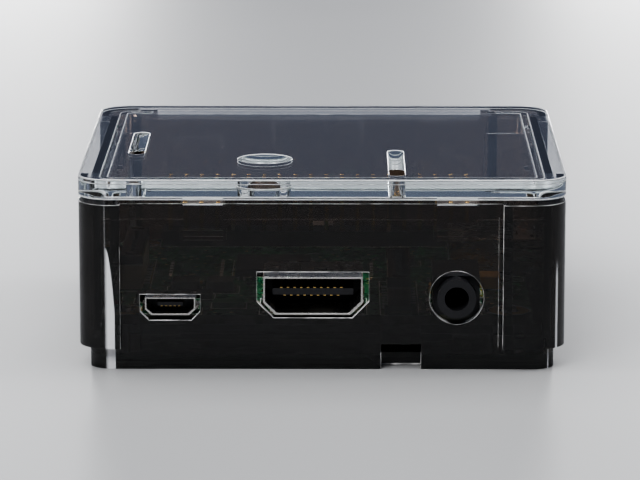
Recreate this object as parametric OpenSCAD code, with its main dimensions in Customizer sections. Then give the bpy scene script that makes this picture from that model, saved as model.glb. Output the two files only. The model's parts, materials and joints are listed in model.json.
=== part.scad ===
// Cased single board computer: a snap-together enclosure with a populated circuit board inside.
// The origin is at the centre of the case's underside. +Z is up, and the HDMI side faces -Y.

/* [Case] */
// Outside width of the lid and the corner columns
case_w = 73; // [73:0.1:76]
// Outside depth of the lid and the corner columns
case_d = 65; // [65:0.1:68]
// Height of the closed case
case_h = 29.2; // [28.5:0.1:34]
// Outside radius of the vertical corners
corner_r = 5; // [4.5:0.1:6]
// Thickness of the base's moulded walls
wall = 1.4; // [1.2:0.05:1.5]
// Depth by which each side panel and the plinth stand back from the corner columns
recess = 1.6; // [1.4:0.05:1.8]
// Height at which the corner columns start
plinth_h = 3.4; // [3:0.1:4]
// Thickness of the floor
floor_t = 2; // [1.5:0.1:2.4]
// Thickness of the lid's flat plate
lid_t = 3.1; // [2:0.1:3.2]
// Height of the shadow gap between the plate and the base
shadow_gap = 0.8; // [0.7:0.05:1.4]
// Width of the left corner columns, seen from the front
column_left = 6.35; // [6:0.05:8]
// Width of the right corner columns, seen from the front
column_right = 9.45; // [8:0.05:11]
// Width of the corner columns, seen from the sides
column_side = 8; // [7:0.1:10]

/* [Circuit board] */
// Width of the circuit board
board_w = 65; // [65:0.1:65]
// Depth of the circuit board
board_d = 56; // [56:0.1:56]
// Thickness of the circuit board
board_t = 1.4; // [1.2:0.1:1.6]
// Gap between the board's edge and the left and front panels
board_gap = 0.15; // [0.1:0.05:0.25]
// Height of the board's underside above the table
board_z = 6.65; // [6.4:0.05:7]
// Distance of the mounting holes from the board's left and front edges
hole_inset = 3.5; // [3.5:0.1:3.5]
// Spacing of the mounting holes along the width
hole_span_x = 58; // [58:0.1:58]
// Spacing of the mounting holes along the depth
hole_span_y = 49; // [49:0.1:49]
// Diameter of the mounting holes
hole_d = 2.75; // [2.7:0.05:2.8]

/* [Connectors] */
// Centre of the power socket along the front edge
power_x = 10.6; // [10.4:0.1:10.8]
// Centre of the HDMI socket along the front edge
hdmi_x = 32; // [31.8:0.1:32.2]
// Centre of the audio and video jack along the front edge
av_x = 53.5; // [53.3:0.1:53.7]
// Centre of the USB socket along the right edge
usb_y = 31.45; // [31.2:0.05:31.7]
// Centre of the card socket along the left edge
card_y = 28; // [27.5:0.1:28.5]
// Pitch of the pin header
pin_pitch = 2.54; // [2.54:0.01:2.54]
// Number of pins in one row of the header
pins_per_row = 20; // [10:1:20]

/* [Hidden] */
$fn = 48;
eps = 0.01;

// Heights, all above the table
base_h = case_h - lid_t - shadow_gap;
board_top = board_z + board_t;

// Where the board's left front corner lies in the case
board_x0 = -case_w / 2 + recess + wall + board_gap;
board_y0 = -case_d / 2 + recess + wall + board_gap;

// Case openings: width, height above and below the connector, bottom corner cut
hdmi_open = [16.8, 7.87, 14.91, 2.45];
power_open = [9.1, 7.48, 11.47, 1.3];
av_open_r = 4.05;
av_draft = 0.05;
av_axis_z = 10.98;
usb_open = [15, 7.4, 15.8];
card_open = [15, 3.6, 8.4];

// How far the front sockets stand out of the board's edge
hdmi_out = 1;
power_out = 0.9;

// Board supports
ledge_in = 1;
ledge_t = 1.5;
front_ledge_t = 2.5;
post_r = 2.6;
peg_r = 1.2;
peg_h = 0.5;

// Hooks that hold the board down
hook_over = 0.7;
hook_z = board_top + 0.1;
hook_top = 11;
front_hook_x = 45.2;
front_hook_w = 5;
back_hook_x = 33;
back_hook_w = 3.8;
mould_gap_w = 6;
mould_gap_h = 3.8;

// Seat ring on the base's rim, and the lid's guide lip inside it with its snap tongues
seat_in = 0.3;
lip_in = recess + wall + 0.2;
lip_t = 1.2;
lip_z = 22.6;
tongue_z = 19.4;
tongue_w = 6;
snap_h = 0.9;
snap_out = 0.12;
groove_t = 0.3;
key_left_x = 15.6;
key_right_x = 53.5;
key_drop = 0.3;
key_play = 0.3;
side_tongue_y = 16;
// Gap in the seat ring and the lid's lip that lets a ribbon cable out over the back wall
ribbon_w = 53;
lid_slot_w = 2.4;
lens_r = 4.1;
lens_x = 24.55;
lens_y = 14.05;
camera_slot_y = [0.3, 21.45];
display_slot_y = [17.75, 36.95];
display_slot_x = 4.7;
camera_slot_x = 44.55;

// Camera and display connectors
ffc_len = 21;
ffc_w = 3.4;
ffc_h = 4;
ffc_latch_h = 1.5;
ffc_slot_len = 16.2;
ffc_slot_w = 0.8;
ffc_contacts = 15;
display_pos = [3.8, 28];
camera_pos = [45, 11.8];

// ---------- helpers ----------

// Puts its children in the board's coordinates, from the left front corner of its top face
module on_board(x = 0, y = 0, z = 0) {
    translate([board_x0 + x, board_y0 + y, board_top + z]) children();
}

// The same from the board's underside
module under_board(x = 0, y = 0, z = 0) {
    translate([board_x0 + x, board_y0 + y, board_z + z]) children();
}

// A flat rectangle with round corners, centred
module round_rect(w, d, r) {
    square([w, d - 2 * r], center = true);
    square([w - 2 * r, d], center = true);
    for (sx = [-1, 1], sy = [-1, 1])
        translate([sx * (w / 2 - r), sy * (d / 2 - r)]) circle(r = r);
}

// The case's outline, moved in by a distance on every side
module case_outline(inset) {
    round_rect(case_w - 2 * inset, case_d - 2 * inset, max(corner_r - inset, 0.6));
}

// A box that stands on z = 0, centred in x and y
module block(w, d, h) {
    translate([-w / 2, -d / 2, 0]) cube([w, d, h]);
}

// A ring of the case's outline between two insets
module outline_ring(outer, inner, z0, z1) {
    translate([0, 0, z0]) linear_extrude(z1 - z0) difference() {
        case_outline(outer);
        case_outline(inner);
    }
}

// The four corner areas that the columns fill, shrunk by a margin towards the corners
module corner_areas(margin) {
    far = 20;
    for (sy = [-1, 1]) {
        y0 = sy > 0 ? case_d / 2 - column_side + margin : -case_d / 2 - far;
        dy = far + column_side - margin;
        translate([-case_w / 2 - far, y0]) square([far + column_left - margin, dy]);
        translate([case_w / 2 - column_right + margin, y0]) square([far + column_right - margin, dy]);
    }
}

// A front opening with both bottom corners cut at 45 degrees, as a solid along Y
module port_cut(x, opening, depth) {
    w = opening[0];
    c = opening[3];
    translate([board_x0 + x, -case_d / 2 + recess + depth, 0]) rotate([90, 0, 0])
        linear_extrude(depth + 1) polygon([
            [-w / 2 + c, opening[1]], [w / 2 - c, opening[1]], [w / 2, opening[1] + c],
            [w / 2, opening[2]], [-w / 2, opening[2]], [-w / 2, opening[1] + c]
        ]);
}

// Socket outline: a rectangle whose two bottom corners are cut
module socket_outline(w, h, cut_x, cut_y) {
    polygon([
        [-w / 2 + cut_x, 0], [w / 2 - cut_x, 0], [w / 2, cut_y],
        [w / 2, h], [-w / 2, h], [-w / 2, cut_y]
    ]);
}

// ---------- enclosure ----------

module base_walls() {
    difference() {
        union() {
            linear_extrude(base_h) case_outline(recess);
            translate([0, 0, plinth_h]) linear_extrude(base_h - plinth_h) intersection() {
                case_outline(0);
                corner_areas(0);
            }
        }
        translate([0, 0, floor_t]) linear_extrude(base_h) case_outline(recess + wall);
        translate([0, 0, plinth_h + wall]) linear_extrude(base_h) intersection() {
            case_outline(wall);
            corner_areas(wall);
        }
    }
}

// Shelf all round that carries the board's edge
module board_ledge() {
    inner_w = board_w - 2 * ledge_in;
    inner_d = board_d - 2 * ledge_in;
    translate([0, 0, board_z - ledge_t]) linear_extrude(ledge_t) difference() {
        case_outline(recess + wall - eps);
        translate([board_x0 + ledge_in, board_y0 + ledge_in]) square([inner_w, inner_d]);
    }
    translate([board_x0 + 12, board_y0 - board_gap - eps, board_z - front_ledge_t])
        cube([board_w - 24, ledge_in + board_gap, front_ledge_t]);
}

module board_posts() {
    for (dx = [0, hole_span_x], dy = [0, hole_span_y])
        translate([board_x0 + hole_inset + dx, board_y0 + hole_inset + dy, floor_t - eps]) {
            cylinder(r = post_r, h = board_z - floor_t + eps);
            cylinder(r = peg_r, h = board_top + peg_h - floor_t);
        }
}

// Ramp-topped barb over the board's front edge, moulded on the front panel
module front_hook() {
    translate([board_x0 + front_hook_x - front_hook_w / 2, board_y0 - board_gap - eps, 0])
        rotate([90, 0, 90]) linear_extrude(front_hook_w) polygon([
            [0, hook_z], [board_gap + hook_over, hook_z],
            [board_gap + hook_over, hook_z + 0.7], [0, hook_top]
        ]);
}

// Upright spring arm with a barb over the board's back edge
module back_hook() {
    arm_t = 1.2;
    arm_y = board_y0 + board_d + 0.2;
    translate([board_x0 + back_hook_x - back_hook_w / 2, arm_y, 0])
        rotate([90, 0, 90]) linear_extrude(back_hook_w) polygon([
            [0, floor_t - eps], [arm_t, floor_t - eps], [arm_t, hook_top], [0.4, hook_top],
            [-0.2 - hook_over, hook_z + 0.7], [-0.2 - hook_over, hook_z], [0, hook_z]
        ]);
}

// Openings that the mould's cores leave under the two barbs
module hook_core_holes() {
    back_w = back_hook_w + 0.6;
    back_y = board_y0 + board_d + 0.15;
    translate([board_x0 + front_hook_x - mould_gap_w / 2, -case_d / 2 + recess - 1, -1])
        cube([mould_gap_w, wall + 1 + 1.3, mould_gap_h + 1]);
    translate([board_x0 + back_hook_x - back_w / 2, back_y - 1.3, -1]) cube([back_w, 1.3, floor_t + 2]);
}

// Raised ring on the panels and the corner columns that the lid's plate rests on
module seat_ring() {
    difference() {
        translate([0, 0, base_h - eps]) linear_extrude(shadow_gap + eps) union() {
            difference() {
                case_outline(recess + seat_in);
                case_outline(recess + wall);
                corner_areas(0);
            }
            intersection() {
                difference() {
                    case_outline(seat_in);
                    case_outline(wall);
                }
                corner_areas(seat_in);
            }
        }
        translate([board_x0 + board_w / 2 - ribbon_w / 2, case_d / 2 - 6, base_h - 1])
            cube([ribbon_w, 10, shadow_gap + 2]);
    }
}

// Notches in the front wall's rim for the lid's keys
module key_notches() {
    for (x = [key_left_x, key_right_x])
        translate([board_x0 + x, -case_d / 2 + recess + wall / 2, base_h - key_drop - 0.1])
            block(tongue_w + 2 * key_play, wall + 1, shadow_gap + 1);
}

// Where the snap tongues stand: two on the front wall, and one on each side wall, facing outwards
module tongue_places(inset) {
    for (x = [key_left_x, key_right_x])
        translate([board_x0 + x, -case_d / 2 + inset, 0]) children();
    for (s = [-1, 1])
        translate([s * (case_w / 2 - inset), side_tongue_y, 0]) rotate([0, 0, s * 90]) children();
}

module snap_grooves() {
    tongue_places(recess + wall) translate([0, 0, tongue_z + 0.3])
        block(tongue_w + 1, 2 * groove_t, snap_h + 0.8);
}

module case_base() {
    inner_front = board_y0 - board_gap;
    color([0.13, 0.12, 0.12, 0.85]) difference() {
        union() {
            base_walls();
            difference() {
                board_ledge();
                // room for the memory card, the back hook and the front hook's mould core
                translate([board_x0 - 5, board_y0 + card_y - 8.5, board_z - 5]) cube([8, 17, 6]);
                translate([board_x0 + back_hook_x - 3.2, board_y0 + board_d - 2, board_z - 5])
                    cube([6.4, 8, 6]);
                translate([board_x0 + front_hook_x - mould_gap_w / 2, board_y0 - 2, board_z - 5])
                    cube([mould_gap_w, 4, 6]);
            }
            board_posts();
            front_hook();
            back_hook();
            seat_ring();
        }
        key_notches();
        port_cut(hdmi_x, hdmi_open, wall + 0.5);
        port_cut(power_x, power_open, wall + 0.5);
        // drawn with the mould's draft, wider towards the outside
        translate([board_x0 + av_x, inner_front + 0.5, av_axis_z]) rotate([90, 0, 0])
            cylinder(r1 = av_open_r - av_draft, r2 = av_open_r + av_draft, h = wall + 2);
        translate([case_w / 2 - recess - wall - 1, board_y0 + usb_y - usb_open[0] / 2, usb_open[1]])
            cube([wall + recess + 2, usb_open[0], usb_open[2] - usb_open[1]]);
        translate([-case_w / 2 - 1, board_y0 + card_y - card_open[0] / 2, card_open[1]])
            cube([wall + recess + 1.5, card_open[0], card_open[2] - card_open[1]]);
        hook_core_holes();
        snap_grooves();
    }
}

// Guide lip with four deeper snap tongues, two at the front and one at each side
module lid_lip() {
    lip_top = base_h + shadow_gap + eps;
    half_d = case_d / 2 - lip_in;
    difference() {
        outline_ring(lip_in, lip_in + lip_t, lip_z, lip_top);
        translate([board_x0 + board_w / 2 - ribbon_w / 2 - 1, half_d - 6, lip_z - 1])
            cube([ribbon_w + 2, 10, base_h + shadow_gap - lip_z + 1]);
    }
    tongue_places(lip_in) {
        translate([0, lip_t / 2, tongue_z]) block(tongue_w, lip_t, lip_top - tongue_z);
        translate([0, 0, tongue_z + 0.7]) block(tongue_w, 2 * snap_out, snap_h);
    }
}

// Keys under the plate that sit in the front rim's notches
module lid_keys() {
    for (x = [key_left_x, key_right_x])
        translate([board_x0 + x, -case_d / 2 + recess + wall / 2, base_h - key_drop])
            block(tongue_w, wall - key_play, key_drop + shadow_gap + eps);
}

// A slot with round ends through the lid, from y0 to y1 in board coordinates
module lid_slot(x, span) {
    r = lid_slot_w / 2;
    z0 = base_h - 6;
    translate([board_x0 + x, board_y0 + span[0] + r, z0]) cylinder(r = r, h = 20);
    translate([board_x0 + x, board_y0 + span[1] - r, z0]) cylinder(r = r, h = 20);
    translate([board_x0 + x - r, board_y0 + span[0] + r, z0]) cube([2 * r, span[1] - span[0] - 2 * r, 20]);
}

module case_lid() {
    color([0.85, 0.92, 0.95, 0.3]) difference() {
        union() {
            translate([0, 0, base_h + shadow_gap]) linear_extrude(lid_t) case_outline(0);
            lid_keys();
            lid_lip();
        }
        translate([board_x0 + lens_x, board_y0 + lens_y, base_h]) cylinder(r = lens_r, h = 10);
        lid_slot(camera_slot_x, camera_slot_y);
        lid_slot(display_slot_x, display_slot_y);
    }
}

// ---------- circuit board ----------

module header_places() {
    span = (pins_per_row - 1) * pin_pitch;
    for (i = [0:pins_per_row - 1], row = [-0.5, 0.5])
        translate([board_w / 2 - span / 2 + i * pin_pitch, board_d - hole_inset + row * pin_pitch]) children();
}

module usb_tab_places() {
    for (dx = [-11.2, -5.6], sy = [-1, 1])
        translate([board_w + 2.1 + dx, usb_y + sy * 6.4]) children();
}

module circuit_board() {
    color("#1f5c3a") translate([board_x0, board_y0, board_z]) difference() {
        translate([board_w / 2, board_d / 2, 0]) linear_extrude(board_t) round_rect(board_w, board_d, 3);
        for (dx = [0, hole_span_x], dy = [0, hole_span_y])
            translate([hole_inset + dx, hole_inset + dy, -1]) cylinder(d = hole_d, h = 4);
        header_places() translate([0, 0, -1]) cylinder(r = 0.5, h = 4, $fn = 16);
        usb_tab_places() translate([0, 0, -1]) cylinder(r = 0.9, h = 4);
    }
}

// ---------- processor and memory, stacked ----------

module processor_package() {
    color("#1b1b1d") on_board(25.5, 32.5) {
        block(12, 12, 0.5);
    }
}

module memory_package() {
    color("#232326") on_board(25.5, 32.5, 0.5) difference() {
        block(11.6, 11.6, 0.7);
        translate([-4.6, -4.6, 0.62]) cylinder(r = 0.5, h = 1);
    }
}

// ---------- power socket (micro USB) ----------

module power_socket_shell() {
    depth = 5.4;
    color("silver") on_board(power_x, -power_out, 0.05) rotate([90, 0, 0]) mirror([0, 0, 1]) {
        difference() {
            linear_extrude(depth) socket_outline(7.6, 2.75, 0.95, 0.9);
            translate([0, 0.25, -1]) linear_extrude(depth + 0.6) socket_outline(7.1, 2.25, 0.95, 0.85);
        }
        for (s = [-1, 1])
            translate([s * 3.9 - 0.4, 0.1, 2.6]) cube([0.8, 1.2, 2]);
    }
}

module power_socket_tongue() {
    color("#151515") on_board(power_x, -power_out, 0.05) rotate([90, 0, 0]) mirror([0, 0, 1]) {
        translate([-1.9, 1.35, 0.6]) cube([3.8, 0.6, 3.2]);
        translate([0, 0.3, 3.8]) linear_extrude(1.15) socket_outline(7, 2.1, 0.95, 0.85);
    }
}

module power_socket_contacts() {
    color("gold") on_board(power_x, -power_out, 0.05) rotate([90, 0, 0]) mirror([0, 0, 1])
        for (i = [-2:2])
            translate([i * 0.65 - 0.17, 1.24, 0.8]) cube([0.34, 0.11, 3]);
}

// ---------- HDMI socket ----------

module hdmi_socket_shell() {
    depth = 11.6;
    color("silver") on_board(hdmi_x, -hdmi_out, 0.1) rotate([90, 0, 0]) mirror([0, 0, 1]) {
        difference() {
            linear_extrude(depth) socket_outline(15, 5.9, 1.9, 1.9);
            translate([0, 0.35, -1]) linear_extrude(depth + 0.65) socket_outline(14.3, 5.2, 1.8, 1.8);
        }
        for (s = [-1, 1], z = [2.6, 8.6])
            translate([s * 7.5 - 0.2, -0.1, z - 1]) cube([0.4, 2.6, 2]);
    }
}

module hdmi_socket_tongue() {
    color("#161618") on_board(hdmi_x, -hdmi_out, 0.1) rotate([90, 0, 0]) mirror([0, 0, 1]) {
        translate([-6.1, 2.9, 1]) cube([12.2, 1, 7.2]);
        translate([0, 0.4, 8.2]) linear_extrude(2.9) socket_outline(14.2, 5.1, 1.8, 1.8);
    }
}

module hdmi_socket_contacts() {
    color("gold") on_board(hdmi_x, -hdmi_out, 0.1) rotate([90, 0, 0]) mirror([0, 0, 1]) {
        for (i = [0:9]) translate([-4.75 + i * 1 - 0.2, 3.9, 1.3]) cube([0.4, 0.15, 6.8]);
        for (i = [0:8]) translate([-4.25 + i * 1 - 0.2, 2.75, 1.3]) cube([0.4, 0.15, 6.8]);
    }
}

// ---------- audio and video jack ----------

av_body = [7, 12.4, 5.9];
av_barrel_r = 2.95;
av_barrel_out = 2.5;
av_bore_r = 1.8;
av_bore_depth = 13;

module av_jack_body() {
    axis = av_axis_z - board_top;
    color("#121214") on_board(av_x, 0, 0) difference() {
        union() {
            translate([0, av_body[1] / 2, 0]) block(av_body[0], av_body[1], av_body[2]);
            translate([0, eps, axis]) rotate([90, 0, 0]) cylinder(r = av_barrel_r, h = av_barrel_out);
        }
        translate([0, av_bore_depth - av_barrel_out, axis]) rotate([90, 0, 0])
            cylinder(r = av_bore_r, h = av_bore_depth + 1);
    }
}

module av_jack_contacts() {
    color("silver") on_board(av_x, 0, 0)
        for (s = [-1, 1], y = [3.2, 6.4, 10.2]) translate([s * (av_body[0] / 2 + 0.45), y, 0]) block(0.9, 1.4, 0.3);
}

// ---------- USB socket ----------

usb_depth = 14;
usb_w = 13.1;
usb_h = 6.4;
usb_sheet = 0.3;
usb_out = 2.1;

// From the mouth inwards: x runs across the socket, y up and z into it
module usb_place() {
    on_board(board_w + usb_out, usb_y, 0.15) rotate([90, 0, -90]) children();
}

module usb_socket_shell() {
    color("silver") usb_place() {
        difference() {
            translate([-usb_w / 2, 0, 0]) cube([usb_w, usb_h, usb_depth]);
            translate([-usb_w / 2 + usb_sheet, usb_sheet, -1])
                cube([usb_w - 2 * usb_sheet, usb_h - 2 * usb_sheet, usb_depth + 1 - usb_sheet]);
        }
        // rolled lips round the mouth
        difference() {
            translate([-usb_w / 2 - 0.6, -0.1, 0]) cube([usb_w + 1.2, usb_h + 0.7, 0.4]);
            translate([-usb_w / 2 + 0.2, 0.2, -1]) cube([usb_w - 0.4, usb_h - 0.4, 3]);
        }
    }
    color("silver") translate([board_x0, board_y0, board_top]) usb_tab_places()
        translate([0, 0, -board_t - 1]) block(1.4, 0.3, board_t + 1.2);
}

module usb_socket_tongue() {
    color("#e8e4d8") usb_place() {
        translate([-5.5, 3.1, 0.9]) cube([11, 1.8, 9.2]);
        translate([-usb_w / 2 + usb_sheet + 0.05, usb_sheet + 0.05, 10.1])
            cube([usb_w - 2 * usb_sheet - 0.1, usb_h - 2 * usb_sheet - 0.1, 3.5]);
    }
}

module usb_socket_contacts() {
    color("gold") usb_place()
        for (x = [-3.5, -1.25, 1.25, 3.5]) translate([x - 0.5, 2.9, 1.4]) cube([1, 0.2, 8.7]);
}

// ---------- 40 pin header ----------

header_h = 2.5;

module pin_header_block() {
    color("#141414") on_board(board_w / 2, board_d - hole_inset, 0) difference() {
        block(pins_per_row * pin_pitch, 2 * pin_pitch, header_h);
        translate([-board_w / 2, -board_d + hole_inset, -1])
            header_places() block(0.7, 0.7, header_h + 2);
    }
}

module pin_header_pins() {
    color("gold") on_board(0, 0, -board_t - 1.4)
        header_places() block(0.64, 0.64, 11.4);
}

// ---------- flat cable connectors ----------

module ffc_housing() {
    difference() {
        block(ffc_w, ffc_len, ffc_h);
        translate([0, 0, 0.8]) block(ffc_slot_w, ffc_slot_len, ffc_h);
    }
    for (s = [-1, 1]) translate([0, s * (ffc_len / 2 - 1.1), ffc_h - eps]) block(1.2, 0.9, 1.1 + eps);
}

// The sliding latch bar: it lifts to free the cable
module ffc_latch() {
    translate([0, 0, ffc_h + 0.05]) difference() {
        union() {
            block(ffc_w - 0.2, ffc_len - 3.4, ffc_latch_h);
            for (s = [-1, 1]) translate([0, s * (ffc_len / 2 - 0.05), 0]) block(ffc_w + 0.3, 0.9, ffc_latch_h);
            for (s = [-1, 1]) translate([s * 1.35, 0, 0]) block(0.6, ffc_len - 0.2, ffc_latch_h);
        }
        translate([0, 0, -1]) block(ffc_slot_w, ffc_slot_len, 4);
    }
}

module ffc_feet() {
    for (i = [0:ffc_contacts - 1])
        translate([(i % 2 ? 1 : -1) * (ffc_w / 2 + 0.45), i - (ffc_contacts - 1) / 2, 0]) block(0.9, 0.35, 0.25);
}

module display_connector() { color("#d9d2c0") on_board(display_pos[0], display_pos[1]) ffc_housing(); }
module display_latch() { color("#2b211c") on_board(display_pos[0], display_pos[1]) ffc_latch(); }
module display_contacts() { color("silver") on_board(display_pos[0], display_pos[1]) ffc_feet(); }
module camera_connector() { color("#d9d2c0") on_board(camera_pos[0], camera_pos[1]) ffc_housing(); }
module camera_latch() { color("#2b211c") on_board(camera_pos[0], camera_pos[1]) ffc_latch(); }
module camera_contacts() { color("silver") on_board(camera_pos[0], camera_pos[1]) ffc_feet(); }

// ---------- memory card and its socket, under the board ----------

card = [15, 11, 0.7];
card_out = 2.4;
card_gap = 0.1;
socket_l = 14;
socket_w = 14;
rail_t = 1.2;

module card_socket_frame() {
    color("#1c1c1e") under_board(0.6, card_y, 0) {
        translate([0, -socket_w / 2, -0.35]) cube([socket_l, socket_w, 0.35]);
        for (s = [-1, 1])
            translate([0, s * (socket_w / 2 - rail_t / 2) - rail_t / 2, -1.25]) cube([socket_l, rail_t, 0.91]);
        translate([socket_l - 1.6, -socket_w / 2, -1.25]) cube([1.6, socket_w, 0.91]);
    }
}

module card_socket_cover() {
    color("silver") under_board(0.6, card_y, 0) difference() {
        union() {
            translate([0, -socket_w / 2, -1.4]) cube([socket_l, socket_w, 0.15]);
            for (s = [-1, 1]) translate([0, s * (socket_w / 2 + 0.1) - 0.1, -1.4]) cube([socket_l, 0.2, 1.3]);
        }
        translate([-1, 0, -3]) cylinder(r = 3, h = 4);
        translate([8, -3, -2]) cube([3, 1.2, 1]);
        translate([8, 1.8, -2]) cube([3, 1.2, 1]);
    }
}

module card_socket_contacts() {
    color("gold") under_board(0.6 + socket_l, card_y, -0.25)
        for (i = [0:7]) translate([0, (i - 3.5) * 1.1 - 0.25, 0]) cube([0.9, 0.5, 0.25]);
}

// The card's left end stands out of the board's edge, with a grip ridge across it
module memory_card() {
    color("#202024") under_board(-card_out, card_y, -0.35 - card_gap - card[2]) {
        linear_extrude(card[2]) polygon([
            [0, -card[1] / 2], [9.2, -card[1] / 2], [9.7, -card[1] / 2 + 0.7], [card[0], -card[1] / 2 + 0.7],
            [card[0], card[1] / 2], [0, card[1] / 2]
        ]);
        translate([0, -card[1] / 2 + 0.3, -0.25]) cube([0.9, card[1] - 0.6, 0.26]);
    }
}

// ---------- power parts and small chips ----------

module power_inductors() {
    color("#3a3a3c") for (x = [12.2, 17.6]) on_board(x, 17.4) {
        block(4.2, 4.2, 1.8);
        for (s = [-1, 1]) translate([s * 2.3, 0, 0]) block(0.4, 2.8, 0.6);
    }
}

module power_regulator() { color("#1d1d1f") on_board(14.9, 12.4) block(3.2, 3.2, 0.9); }
module input_fuse() { color("#2f6b4c") on_board(19.2, 6.4) block(4.6, 3.2, 0.8); }
module surge_diode() { color("#1d1d1f") on_board(7.2, 9.6) block(4.3, 2.6, 1.3); }

module clock_crystal() {
    color("silver") on_board(36.6, 27.4) {
        block(3.2, 2.5, 0.4);
        translate([0, 0, 0.39]) block(2.8, 2.1, 0.36);
    }
}

module led() {
    block(1.6, 0.8, 0.3);
    translate([0, 0, 0.3 - eps]) block(1, 0.8, 0.35);
}

module power_led() { color("#c8402c") on_board(1.6, 8.4) led(); }
module activity_led() { color("#4fae5a") on_board(1.6, 11.4) led(); }
module bulk_capacitor() { color("#c9a24a") on_board(57.2, 20.2) block(7.3, 4.3, 2); }

module audio_capacitors() {
    color("#c9a24a") for (x = [51.4, 55.6]) on_board(x, 15.2) block(3.5, 1.7, 1.6);
}

module hdmi_protection_chips() {
    color("#1d1d1f") for (x = [28.6, 35.4]) on_board(x, 13.4) block(2.5, 1.2, 0.6);
}

module usb_power_switch() {
    color("#1d1d1f") on_board(47, 36.4) {
        translate([0, 0, 0.1]) block(1.7, 2.9, 1);
        for (s = [-1, 1], i = [-1:1]) translate([s * 1.15, i * 0.95, 0]) block(0.7, 0.4, 0.2);
    }
}

chip = [1, 0.5, 0.5];

// Chip parts in rows round the processor and beside the power parts
module chip_row(x, y, dx, dy, n) {
    for (i = [0:n - 1]) on_board(x + i * dx, y + i * dy)
        if (dx == 0) block(chip[1], chip[0], chip[2]);
        else block(chip[0], chip[1], chip[2]);
}

module chip_capacitors() {
    color("#b59a72") {
        chip_row(20.6, 40.4, 1.9, 0, 6);
        chip_row(17.4, 27.6, 0, 1.9, 6);
        chip_row(33.6, 30.4, 0, 1.9, 4);
        chip_row(10.6, 21.6, 1.9, 0, 5);
        chip_row(25.6, 17.2, 1.9, 0, 6);
    }
}

module chip_resistors() {
    color("#1e1e20") {
        chip_row(20.6, 24.4, 1.9, 0, 6);
        chip_row(41, 27.6, 0, 1.9, 5);
        chip_row(50.2, 24, 1.9, 0, 3);
        chip_row(9.4, 28, 0, 1.9, 5);
    }
}

case_base();
case_lid();
circuit_board();
processor_package();
memory_package();
power_socket_shell();
power_socket_tongue();
power_socket_contacts();
hdmi_socket_shell();
hdmi_socket_tongue();
hdmi_socket_contacts();
av_jack_body();
av_jack_contacts();
usb_socket_shell();
usb_socket_tongue();
usb_socket_contacts();
pin_header_block();
pin_header_pins();
display_connector();
display_latch();
display_contacts();
camera_connector();
camera_latch();
camera_contacts();
card_socket_frame();
card_socket_cover();
card_socket_contacts();
memory_card();
power_inductors();
power_regulator();
input_fuse();
surge_diode();
clock_crystal();
power_led();
activity_led();
bulk_capacitor();
audio_capacitors();
hdmi_protection_chips();
usb_power_switch();
chip_capacitors();
chip_resistors();
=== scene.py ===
"""Looks for the cased single board computer: materials, fine board detail, studio and camera."""

import json
import math
import random

import bmesh
import bpy
from mathutils import Euler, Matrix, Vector


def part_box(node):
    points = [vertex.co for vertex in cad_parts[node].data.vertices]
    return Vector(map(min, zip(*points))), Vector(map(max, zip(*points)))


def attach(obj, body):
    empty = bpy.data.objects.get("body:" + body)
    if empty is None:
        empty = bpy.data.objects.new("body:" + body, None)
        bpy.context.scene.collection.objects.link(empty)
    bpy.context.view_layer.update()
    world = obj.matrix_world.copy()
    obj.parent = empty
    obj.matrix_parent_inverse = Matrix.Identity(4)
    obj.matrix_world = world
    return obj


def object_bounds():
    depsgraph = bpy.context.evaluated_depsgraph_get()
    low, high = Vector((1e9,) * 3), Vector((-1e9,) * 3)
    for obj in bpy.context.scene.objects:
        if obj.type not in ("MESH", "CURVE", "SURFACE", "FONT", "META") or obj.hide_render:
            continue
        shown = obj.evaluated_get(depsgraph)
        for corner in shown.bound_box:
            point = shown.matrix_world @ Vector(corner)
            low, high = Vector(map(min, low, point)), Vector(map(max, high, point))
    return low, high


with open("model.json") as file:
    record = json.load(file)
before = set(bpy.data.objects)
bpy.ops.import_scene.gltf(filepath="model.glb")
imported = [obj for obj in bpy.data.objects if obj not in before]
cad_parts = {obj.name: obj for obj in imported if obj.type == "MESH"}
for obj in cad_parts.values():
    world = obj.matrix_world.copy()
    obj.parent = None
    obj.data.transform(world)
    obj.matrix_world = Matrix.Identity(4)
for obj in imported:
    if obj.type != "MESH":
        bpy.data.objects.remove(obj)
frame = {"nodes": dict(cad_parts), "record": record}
cad_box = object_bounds()
nodes = frame["nodes"]
MM = 0.001
HALF_W, HALF_D, CASE_TOP = cad_box[1]
CORNER_R = 5 * MM


# ---------- node helpers ----------


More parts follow.
